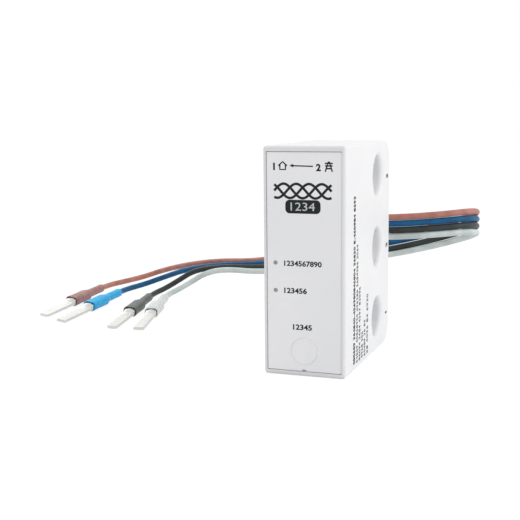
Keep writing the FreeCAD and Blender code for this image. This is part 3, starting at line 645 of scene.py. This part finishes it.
@dataclass
class FrontLabel:
    """Label plate with its print, its lamps and the reset button, with sizes in mm."""

    lamp_x: float = -6.8
    lamp_heights: tuple[float, float] = (26.35, 19.95)
    first_weight: float = 0.05
    second_weight: float = 0.045
    house_line: float = 0.36
    arrow_line: float = 0.3
    pylon_line: float = 0.34
    wave_left: float = -7.0
    wave_right: float = 6.5
    wave_height: float = 42.85
    wave_swing: float = 1.62
    wave_turns: float = 1.5
    wave_line: float = 0.6
    badge_across: tuple[float, float] = (-4.35, 3.95)
    badge_up: tuple[float, float] = (37.75, 40.85)
    badge_corner: float = 1.0
    label_weight: float = 0.03
    button_height: float = 5.95
    button_radius: float = 3.1
    lip_play: float = 0.01
    groove_gap: float = 0.12
    lip_width: float = 0.1
    lip_depth: float = 0.3
    lip_sink: float = 0.04
    lip_end: float = 0.3

    def build(self) -> None:
        """Dresses the plate, the button and the lamps, and prints the plate."""
        dress("front_panel", LABEL)
        dress("reset_button", BUTTON)
        for number in (1, 2):
            dress("light_pipe_%d" % number, LIGHT_GUIDE)
        printer = Printer(Face.FRONT, Vector((0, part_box("front_panel")[0].y, 0)))
        self.direction_row(printer)
        self.phase_waves(printer)
        self.badge(printer)
        self.labels(printer)
        self.lamp_rings()
        self.button_lip()
        self.edge_lip()

    def direction_row(self, printer: Printer) -> None:
        """Prints the row that shows the way of the current, from the grid to the house."""
        house = [[(-5.95, 48.5), (-4.95, 49.4), (-3.95, 48.5)],
                 [(-5.62, 48.7), (-5.62, 47.65), (-4.28, 47.65), (-4.28, 48.7)]]
        pylon = [[(5.05, 47.25), (5.72, 49.4), (6.0, 49.4), (6.67, 47.25)],
                 [(4.95, 49.1), (6.77, 49.1)],
                 [(5.0, 48.55), (6.72, 48.55)],
                 [(5.4, 47.95), (6.32, 47.95)]]
        arrow = [[(-2.6, 48.52), (2.2, 48.42)],
                 [(-2.5, 48.8), (-3.2, 48.53), (-2.5, 48.26), (-2.5, 48.7)],
                 [(-2.95, 48.53), (-2.5, 48.6)]]
        marks = [printer.digits("1", (-7.4, -6.62), (47.5, 49.15), self.first_weight),
                 printer.strokes(house, self.house_line),
                 printer.strokes(arrow, self.arrow_line),
                 printer.digits("2", (2.94, 3.98), (47.35, 49.0), self.second_weight),
                 printer.strokes(pylon, self.pylon_line)]
        add_piece("print_direction_row", joined(marks, "row"), [INK], Body.ENCLOSURE)

    def phase_waves(self, printer: Printer) -> None:
        """Prints three waves a third of a turn apart, one for each phase."""
        steps = 48
        lines = []
        for phase in range(3):
            line = []
            for i in range(steps + 1):
                share = i / steps
                across = self.wave_left + (self.wave_right - self.wave_left) * share
                turn = math.tau * (self.wave_turns * share + phase / 3)
                line.append((across, self.wave_height + self.wave_swing * math.sin(turn)))
            lines.append(line)
        add_piece("print_phase_waves", printer.strokes(lines, self.wave_line), [INK],
                  Body.ENCLOSURE)

    def badge(self, printer: Printer) -> None:
        """Prints the dark badge and the pale numerals on it."""
        badge = printer.patch(self.badge_across, self.badge_up, self.badge_corner)
        add_piece("print_badge", badge, [INK], Body.ENCLOSURE, smooth=False)
        above = Printer(printer.face, printer.origin - Vector((0, printer.ink_mm * MM, 0)))
        add_piece("print_badge_numerals", above.digits("1234", (-3.1, 2.65), (38.4, 40.25)),
                  [INK_WHITE], Body.ENCLOSURE)

    def labels(self, printer: Printer) -> None:
        """Prints plain numerals beside the lamps and above the button."""
        rows = {"print_lamp_row_1": ("1234567890", (-4.72, 4.22), (25.65, 26.95)),
                "print_lamp_row_2": ("123456", (-4.74, 0.71), (19.35, 20.65)),
                "print_button_row": ("12345", (-2.66, 1.88), (10.9, 12.2))}
        for name, (text, across, up) in rows.items():
            add_piece(name, printer.digits(text, across, up, self.label_weight), [INK],
                      Body.ENCLOSURE)

    def lamp_rings(self) -> None:
        """Adds a dark ring round each lamp window: a painted shadow line."""
        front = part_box("front_panel")[0].y
        for number, height in enumerate(self.lamp_heights, 1):
            centre = Vector((self.lamp_x * MM, front, height * MM))
            profile = [(0.42, 0.0), (0.42, -0.02), (0.46, -0.03), (0.5, -0.02), (0.51, 0.0)]
            add_piece("lamp_shadow_ring_%d" % number, lathe(profile, centre, 40), [LAMP_SHADOW_RING],
                      Body.ENCLOSURE)

    def button_lip(self) -> None:
        """Adds the thin lip that closes the gap round the button."""
        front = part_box("front_panel")[0].y
        centre = Vector((0, front, self.button_height * MM))
        inner = self.button_radius + self.lip_play
        outer = self.button_radius + self.lip_width - self.lip_play
        profile = [(inner, 0.03), (outer, 0.02), (outer, 0.5), (inner, 0.5)]
        add_piece("button_lip", lathe(profile, centre, 96), [LIP], Body.ENCLOSURE)

    def edge_lip(self) -> None:
        """Adds the lip that closes the groove along the right edge of the plate."""
        low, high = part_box("front_panel")
        bm = bmesh.new()
        bmesh.ops.create_cube(bm, size=1.0)
        size = Vector((self.lip_width * MM, self.lip_depth * MM,
                       high.z - low.z - 2 * self.lip_end * MM))
        middle = Vector((high.x + self.groove_gap / 2 * MM,
                         low.y + (self.lip_sink + self.lip_depth / 2) * MM,
                         (low.z + high.z) / 2))
        bmesh.ops.scale(bm, verts=bm.verts, vec=size)
        bmesh.ops.translate(bm, verts=bm.verts, vec=middle)
        add_piece("plate_edge_lip", mesh_of(bm, "lip"), [LIP], Body.ENCLOSURE, smooth=False)


@dataclass
class Housing:
    """White housing with its side cover and the print on its right side, with sizes in mm."""

    rows: tuple[tuple[str, float, float], ...] = (
        ("480689 364840-456980846804 36830 8-460984 8693", -13.85, 41.2),
        ("34869 40868950 496386 3684986 2064", -11.2, 29.7),
        ("86094 3684 4597 83096", -8.8, 19.3),
        ("4968 306", -6.4, 8.0),
        ("60489 36 84", -4.0, 10.4),
        ("38 4096 84 6930", -1.35, 16.3),
    )
    row_start: float = 1.45
    row_spacing: float = 1.12
    bold_height: float = 1.85
    bold_weight: float = 0.055
    row_height: float = 1.6
    row_weight: float = 0.02
    hole_mark_y: float = 19.0
    hole_mark_drop: float = 0.7
    hole_mark_size: tuple[float, float] = (1.1, 1.9)
    hole_mark_weight: float = 0.06

    def build(self) -> None:
        """Dresses the mouldings and prints the right side."""
        for node in ("housing_body", "side_cover", "wire_comb"):
            dress(node, HOUSING)
        self.side_print()
        self.hole_marks()

    def printer(self) -> Printer:
        """Returns the printer for text that reads upwards on the right side."""
        return Printer(Face.RIGHT_UPWARD, Vector((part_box("housing_body")[1].x, 0, 0)))

    def side_print(self) -> None:
        """Prints the rows of fine numerals, the first one bold."""
        printer = self.printer()
        for number, (text, y, end) in enumerate(self.rows, 1):
            bold = number == 1
            weight = self.bold_weight if bold else self.row_weight
            half = (self.bold_height if bold else self.row_height) / 2
            mesh = printer.digits(text, (self.row_start, end), (-y - half, -y + half), weight,
                                  self.row_spacing)
            finish = INK if bold else INK_FINE
            add_piece("print_side_row_%d" % number, mesh, [finish], Body.ENCLOSURE)

    def hole_marks(self) -> None:
        """Prints the number of its phase beside each tunnel."""
        printer = self.printer()
        mounts = [m for m in frame["record"]["mounts"] if m["kind"] == "bore"]
        width, height = self.hole_mark_size
        for number, mount in enumerate(mounts, 1):
            middle = mount["pos_m"][2] / MM - self.hole_mark_drop
            mesh = printer.digits(str(number), (middle - width / 2, middle + width / 2),
                                  (-self.hole_mark_y - height / 2, -self.hole_mark_y + height / 2),
                                  self.hole_mark_weight)
            add_piece("print_hole_mark_%d" % number, mesh, [INK], Body.ENCLOSURE)


@dataclass
class Lead:
    """One voltage lead: its free wire, its sleeve and its blade terminal, with sizes in mm."""

    phase: Phase
    route: Sequence[Point]
    length: float
    diameter: float = 1.76
    sleeve_wall: float = 0.28
    blade_low: float = -0.88
    blade_thick: float = 0.8
    blade_half: float = 1.5
    blade_edge: float = 0.12
    blade_middle: float = 30.0
    tip_reach: float = 38.8
    tip_soft: float = 0.2
    tip_steps: int = 10
    ramp_start: float = 23.4
    ramp_length: float = 2.6
    ramp_steps: int = 8
    barrel_high: float = 1.14
    barrel_low: float = -1.1
    barrel_half: float = 1.62
    barrel_crown: float = 0.55
    barrel_edge: float = 0.4
    barrel_end: float = 12.3

    def build(self) -> None:
        colour = self.phase.value
        sleeve = add_piece("soft_sleeve_" + colour, self.sleeve(),
                           [TUBING[self.phase], SLEEVE_INSIDE_SHADE[self.phase]], Body.ENCLOSURE)
        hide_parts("sleeve_" + colour)
        terminal = add_piece("blade_terminal_" + colour, self.terminal(), [TINNED],
                             Body.ENCLOSURE)
        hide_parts("terminal_" + colour)
        wire = self.wire()

    def wire(self) -> bpy.types.Object:
        """Returns the wire as one smooth spline along the route."""
        name = "insulated_lead_" + self.phase.value
        curve = bpy.data.curves.new(name, "CURVE")
        curve.dimensions = "3D"
        curve.bevel_depth = self.diameter * MM / 2
        curve.bevel_resolution = 6
        curve.resolution_u = 10
        curve.use_fill_caps = True
        spline = curve.splines.new("NURBS")
        spline.points.add(len(self.route) - 1)
        for point, place in zip(spline.points, self.route):
            point.co = (*(x * MM for x in place), 1)
        spline.order_u = 3
        spline.use_endpoint_u = True
        curve.materials.append(INSULATION[self.phase].material())
        piece = bpy.data.objects.new(name, curve)
        bpy.context.scene.collection.objects.link(piece)
        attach(piece, Body.ENCLOSURE.value)
        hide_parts("lead_" + self.phase.value)
        log.info("added %s along %d points", name, len(self.route))
        return piece

    def end_place(self) -> Matrix:
        """Returns the place of the terminal, whose own axis runs along -Y from the origin."""
        before, end = Vector(self.route[-2]), Vector(self.route[-1])
        turn = math.atan2(end.x - before.x, before.y - end.y)
        return (Matrix.Translation(end * MM) @ Matrix.Rotation(turn, 4, "Z")
                @ Matrix.Rotation(SLOPE, 4, "X")
                @ Matrix.Rotation(math.radians(ROLLS[self.phase]), 4, "Y"))

    def sleeve(self) -> bpy.types.Mesh:
        """Returns the soft sleeve, round on the wire and flared over the terminal, with painted
        shade on its inside.
        """
        wall = self.sleeve_wall
        # Distance from the lead's end, width, height and squareness of each section
        outside = [(0.0, 2.34, 2.34, 2.0), (0.1, 2.56, 2.56, 2.0), (0.35, 2.62, 2.62, 2.1),
                   (4.5, 2.54, 2.56, 2.1), (8.7, 2.6, 2.6, 2.2), (9.5, 2.82, 2.66, 2.3),
                   (10.3, 3.42, 2.8, 2.6), (11.0, 3.86, 2.94, 3.0), (11.7, 4.0, 3.0, 3.2),
                   (13.5, 3.94, 2.94, 3.2), (17.0, 3.88, 2.9, 3.2), (19.8, 3.96, 2.96, 3.2),
                   (20.7, 4.04, 3.0, 3.2), (20.95, 4.0, 2.98, 3.2), (21.0, 3.9, 2.9, 3.2)]
        inside = [(20.98, 4.0 - 1.7 * wall, 3.0 - 1.7 * wall, 3.4),
                  (20.8, 3.96 - 2 * wall, 2.96 - 2 * wall, 3.4),
                  (17.0, 3.88 - 2 * wall, 2.9 - 2 * wall, 3.4),
                  (12.2, 3.8 - 2 * wall, 2.86 - 2 * wall, 3.4)]
        # The inner rings take the second material, painted shade inside the mouth
        rings = [oval(*station) for station in outside + inside]
        mesh = loft(rings, inside_shade_from=len(outside))
        mesh.transform(self.end_place())
        return mesh

    def section(self, distance: float, half: float, low: float, high: float,
                crown: float = 0.0, edge: float = 0.0) -> list[Point]:
        """Lays out one section of the terminal.

        Args:
            distance: How far in front of the lead's end the section lies, in mm.
            half: Half of its width in mm.
            low: Height of its underside in mm.
            high: Height of its top in mm.
            crown: How far the top falls from its middle to both sides in mm.
            edge: Radius that the long edges have beyond those of the blade in mm.

        Returns:
            Points round the section.
        """
        soft = min(self.blade_edge + edge, half * 0.9, (high - crown - low) * 0.45)
        steps = 16

        def top(across: float) -> float:
            """Returns the height of the top at a distance from its middle."""
            return high - crown * (across / half) ** 2

        side_top = top(half - soft)
        turns = [math.pi / 6 * i for i in range(4)]
        right = [(half - soft + soft * math.sin(t), low + soft - soft * math.cos(t))
                 for t in turns]
        right += [(half - soft + soft * math.cos(t), side_top - soft + soft * math.sin(t))
                  for t in turns]
        reach = half - soft
        crown = [(reach * (1 - 2 * i / steps), top(reach * (1 - 2 * i / steps)))
                 for i in range(1, steps)]
        left = [(-across, z) for across, z in reversed(right)]
        return [(across, -distance, z) for across, z in right + crown + left]

    def terminal(self) -> bpy.types.Mesh:
        """Returns the flat blade with its soft tip and the folded crimp barrel behind it."""
        low, high = self.blade_low, self.blade_low + self.blade_thick
        half = self.blade_half
        radius = TIP_RADII[self.phase]
        soft = self.tip_soft
        rings = []
        for i in range(self.tip_steps + 1):
            turn = math.pi / 2 * i / self.tip_steps
            off = radius * (1 - math.cos(turn))
            sink = soft - math.sqrt(soft * soft - max(0.0, soft - off) ** 2)
            rings.append(self.section(self.tip_reach - off, half - radius * (1 - math.sin(turn)),
                                      low + sink, high - sink))
        rings.append(self.section(self.blade_middle, half, low, high))
        for i in range(self.ramp_steps + 1):
            share = i / self.ramp_steps
            eased = share * share * (3 - 2 * share)
            rings.append(self.section(self.ramp_start - self.ramp_length * share,
                                      half + (self.barrel_half - half) * eased,
                                      low + (self.barrel_low - low) * eased,
                                      high + (self.barrel_high - high) * eased,
                                      self.barrel_crown * eased, self.barrel_edge * eased))
        rings.append(self.section(self.barrel_end, self.barrel_half, self.barrel_low,
                                  self.barrel_high, self.barrel_crown, self.barrel_edge))
        mesh = loft(rings)
        mesh.transform(self.end_place())
        return mesh


@dataclass
class Electronics:
    """Boards and parts inside the housing, and the switch behind the button."""

    finishes: tuple[tuple[str, Finish], ...] = (
        ("display_board", BOARD), ("main_board", BOARD), ("radio_board", BOARD),
        ("header_block", BLACK_PLASTIC), ("header_pins", TINNED), ("ct_leads", TINNED),
        ("metering_chip", BLACK_PLASTIC), ("crystal", STEEL_CAN), ("radio_shield", STEEL_CAN),
        ("film_capacitor", FILM_BOX), ("smoothing_capacitors", CAN_SLEEVE),
        ("varistors", VARISTOR), ("fuse_resistors", RESISTOR), ("wire_tails", COPPER),
        ("switch_case", BLACK_PLASTIC), ("switch_plunger", BLACK_PLASTIC),
        ("status_lamp_1", LAMP), ("status_lamp_2", LAMP),
    )

    def build(self) -> None:
        """Dresses every inner node."""
        for node, finish in self.finishes:
            dress(node, finish)
        for number in (1, 2, 3):
            dress("ct_core_%d" % number, CORE)
            dress("ct_winding_%d" % number, COPPER)


@dataclass
class Studio:
    """Camera, lamps, world and floor, with places in metres and turns in degrees."""

    camera_place: Point = (0.06765, -0.236, 0.061)
    camera_yaw: float = 20.07
    camera_pitch: float = -8.54
    camera_roll: float = 0.54
    camera_lens: float = 69.23
    ambient: float = 0.82
    ambient_front: float = 0.92
    lamp_power: float = 1.7
    lamp_aim: Point = (0.0, 0.0, 0.026)
    floor_radius: float = 6.0
    floor_colour: str = "#e6e6e6"
    floor_glow: float = 1.08
    floor_share: float = 0.85

    def build(self) -> None:
        """Makes the camera first, then the light and the floor."""
        self.camera()
        self.world()
        self.lamp("key_softbox", (0.75, 0.05, 0.35), 0.5, self.lamp_power)
        self.lamp("fill_softbox", (-0.6, 0.45, 0.5), 0.6, self.lamp_power)
        self.floor()
        bpy.context.scene.view_settings.view_transform = "Standard"

    def camera(self) -> None:
        """Places the camera where the photograph was taken from."""
        data = bpy.data.cameras.new("camera")
        data.lens = self.camera_lens
        data.sensor_width = 36.0
        data.clip_start = 0.01
        camera = bpy.data.objects.new("camera", data)
        turns = ((self.camera_yaw, "Z"), (self.camera_pitch, "X"), (self.camera_roll, "Y"),
                 (90.0, "X"))
        place = Matrix.Translation(self.camera_place)
        for degrees, axis in turns:
            place = place @ Matrix.Rotation(math.radians(degrees), 4, axis)
        camera.matrix_world = place
        bpy.context.scene.collection.objects.link(camera)
        bpy.context.scene.camera = camera

    def world(self) -> None:
        """Lights the object evenly, and shows white where the eye or a gloss sees past it."""
        world = bpy.data.worlds.new("studio")
        world.use_nodes = True
        bpy.context.scene.world = world
        tree = world.node_tree
        back = tree.nodes["Background"]
        back.inputs["Color"].default_value = (1, 1, 1, 1)
        path = add_node(tree, "ShaderNodeLightPath")
        seen = add_node(tree, "ShaderNodeMath", {"operation": "MAXIMUM"},
                        {0: path.outputs["Is Camera Ray"], 1: path.outputs["Is Glossy Ray"]})
        through = add_node(tree, "ShaderNodeMath", {"operation": "MAXIMUM"},
                           {0: seen.outputs[0], 1: path.outputs["Is Transmission Ray"]})
        place = add_node(tree, "ShaderNodeTexCoord").outputs["Generated"]
        split = add_node(tree, "ShaderNodeSeparateXYZ", None, {0: place})
        even = add_node(tree, "ShaderNodeMapRange",
                        {"From Min": -1.0, "From Max": 0.0, "To Min": self.ambient_front,
                         "To Max": self.ambient}, {"Value": split.outputs["Y"]})
        strength = add_node(tree, "ShaderNodeMapRange", {"To Max": 1.0},
                            {"Value": through.outputs[0], "To Min": even.outputs[0]})
        tree.links.new(strength.outputs[0], back.inputs["Strength"])

    def lamp(self, name: str, place: Point, size: float, power: float) -> None:
        """Adds one square softbox that looks at the housing.

        Args:
            name: Name of the lamp.
            place: Place of its middle in metres.
            size: Side in metres.
            power: Power in watts.
        """
        data = bpy.data.lights.new(name, "AREA")
        data.size = size
        data.energy = power
        lamp = bpy.data.objects.new(name, data)
        lamp.location = place
        aim = Vector(self.lamp_aim) - Vector(place)
        lamp.rotation_euler = aim.to_track_quat("-Z", "Y").to_euler()
        bpy.context.scene.collection.objects.link(lamp)

    def floor(self) -> None:
        """Adds the white floor, which keeps a faint shadow."""
        bm = bmesh.new()
        bmesh.ops.create_circle(bm, segments=64, radius=self.floor_radius, cap_ends=True)
        mesh = mesh_of(bm, "floor")
        material = bpy.data.materials.new("paper_floor_white")
        material.use_nodes = True
        tree = material.node_tree
        shader = tree.nodes["Principled BSDF"]
        shader.inputs["Base Color"].default_value = linear(self.floor_colour)
        shader.inputs["Roughness"].default_value = 0.9
        shader.inputs["Specular IOR Level"].default_value = 0.1
        glow = add_node(tree, "ShaderNodeEmission", {"Strength": self.floor_glow})
        path = add_node(tree, "ShaderNodeLightPath")
        seen = add_node(tree, "ShaderNodeMath", {"operation": "MAXIMUM"},
                        {0: path.outputs["Is Camera Ray"], 1: path.outputs["Is Glossy Ray"]})
        share = add_node(tree, "ShaderNodeMapRange", {"To Max": self.floor_share},
                         {"Value": seen.outputs[0]})
        mix = add_node(tree, "ShaderNodeMixShader", None,
                       {0: share.outputs[0], 1: shader.outputs[0], 2: glow.outputs[0]})
        tree.links.new(mix.outputs[0], tree.nodes["Material Output"].inputs["Surface"])
        mesh.materials.append(material)
        floor = bpy.data.objects.new("floor", mesh)
        bpy.context.scene.collection.objects.link(floor)


# How each terminal lies: all slope down to their tips, and each is rolled a little
SLOPE = math.radians(1.5)
ROLLS = {Phase.BROWN: 9.0, Phase.BLUE: 9.0, Phase.BLACK: 5.0, Phase.GREY: 1.0}
# Radius of the tip corners in mm: the terminals on two of the leads are rounder
TIP_RADII = {Phase.BROWN: 1.25, Phase.BLUE: 0.6, Phase.BLACK: 1.25, Phase.GREY: 0.6}
# Where the leads leave the rear wall, in mm
EXIT_X = -4.5
REAR_Y = 22.0
# Mouth of a sleeve in mm: half of its flat width and height, and the radius of its corners
MOUTH_ACROSS = 1.0
MOUTH_UP = 0.5
MOUTH_CORNER = 1.0
SLEEVE_LENGTH = 21.0
LAST_RUN = 5.1
# The sleeve that rolls most rests its corner on the ground, and its axis gives the heights
STEEPEST = math.radians(max(ROLLS.values()))
AXIS_Z = MOUTH_ACROSS * math.sin(STEEPEST) + MOUTH_UP * math.cos(STEEPEST) + MOUTH_CORNER
END_Z = AXIS_Z + SLEEVE_LENGTH * math.tan(SLOPE)
RUN_Z = END_Z + LAST_RUN * math.tan(SLOPE)
# Corner points of the leads in mm, from the rear wall to the terminals
ROUTES: dict[Phase, list[Point]] = {
    Phase.BROWN: [
        (EXIT_X, REAR_Y, 31.0), (EXIT_X, 28.0, 31.0), (-1.9, 33.0, 31.0), (3.6, 35.6, 31.0),
        (12.5, 35.9, 31.5), (22.0, 36.6, 32.4), (28.6, 43.3, 32.8), (28.8, 53.2, 31.4),
        (22.8, 60.4, 28.6), (10.5, 62.3, 24.6), (-5.5, 63.0, 20.8), (-25.0, 62.4, 16.8),
        (-41.5, 61.8, 13.0), (-55.3, 63.0, 12.4), (-68.5, 67.6, 10.0), (-80.0, 71.6, 6.9),
        (-87.5, 71.6, 4.2), (-92.2, 68.0, 3.1), (-96.53, 62.0, RUN_Z), (-96.3, 56.9, END_Z)],
    Phase.BLUE: [
        (EXIT_X, REAR_Y, 29.2), (EXIT_X, 28.0, 29.2), (-1.9, 33.0, 29.2), (3.6, 35.6, 29.2),
        (12.5, 35.9, 29.7), (22.0, 36.6, 30.6), (28.6, 43.3, 30.9), (28.8, 53.2, 29.4),
        (22.8, 60.4, 26.6), (10.5, 62.0, 22.7), (-5.5, 62.2, 19.0), (-25.0, 61.2, 15.2),
        (-40.9, 60.2, 12.3), (-55.1, 61.0, 11.4), (-67.4, 63.6, 9.0), (-76.8, 65.2, 5.6),
        (-82.6, 62.2, 3.4), (-86.9, 56.4, RUN_Z), (-86.7, 51.3, END_Z)],
    Phase.BLACK: [
        (EXIT_X, REAR_Y, 27.4), (EXIT_X, 28.0, 27.4), (-1.9, 33.0, 27.4), (3.6, 35.6, 27.4),
        (12.5, 35.9, 27.9), (22.0, 36.6, 28.8), (28.6, 43.3, 29.0), (28.8, 53.2, 27.4),
        (22.8, 60.2, 24.6), (10.5, 61.5, 20.8), (-5.5, 61.0, 17.2), (-25.0, 59.3, 13.6),
        (-40.2, 58.1, 11.5), (-53.6, 58.8, 11.2), (-63.6, 60.6, 9.2), (-69.2, 60.6, 5.7),
        (-72.6, 56.8, 3.3), (-74.51, 52.12, RUN_Z), (-73.6, 47.1, END_Z)],
    Phase.GREY: [
        (EXIT_X, REAR_Y, 25.6), (EXIT_X, 28.0, 25.6), (-1.9, 33.0, 25.6), (3.6, 35.6, 25.6),
        (12.5, 35.9, 26.1), (22.0, 36.6, 27.0), (28.6, 43.3, 27.1), (28.8, 53.2, 25.4),
        (22.8, 60.0, 22.6), (10.5, 61.0, 19.0), (-5.5, 60.0, 15.6), (-25.0, 57.6, 12.1),
        (-39.6, 56.2, 10.4), (-50.8, 56.6, 10.8), (-58.6, 58.2, 9.0), (-64.2, 57.6, 5.4),
        (-67.3, 55.9, 3.5), (-69.46, 52.24, RUN_Z), (-68.2, 47.3, END_Z)],
}
LENGTHS = {Phase.BROWN: 196.4, Phase.BLUE: 184.9, Phase.BLACK: 173.7, Phase.GREY: 166.2}


def main() -> None:
    """Builds the scene in order."""
    logging.basicConfig(level=logging.INFO, format="%(message)s", stream=sys.stdout)
    Studio().build()
    for phase, route in ROUTES.items():
        Lead(phase, route, LENGTHS[phase]).build()
    Housing().build()
    FrontLabel().build()
    Electronics().build()


if __name__ == "__main__":
    main()
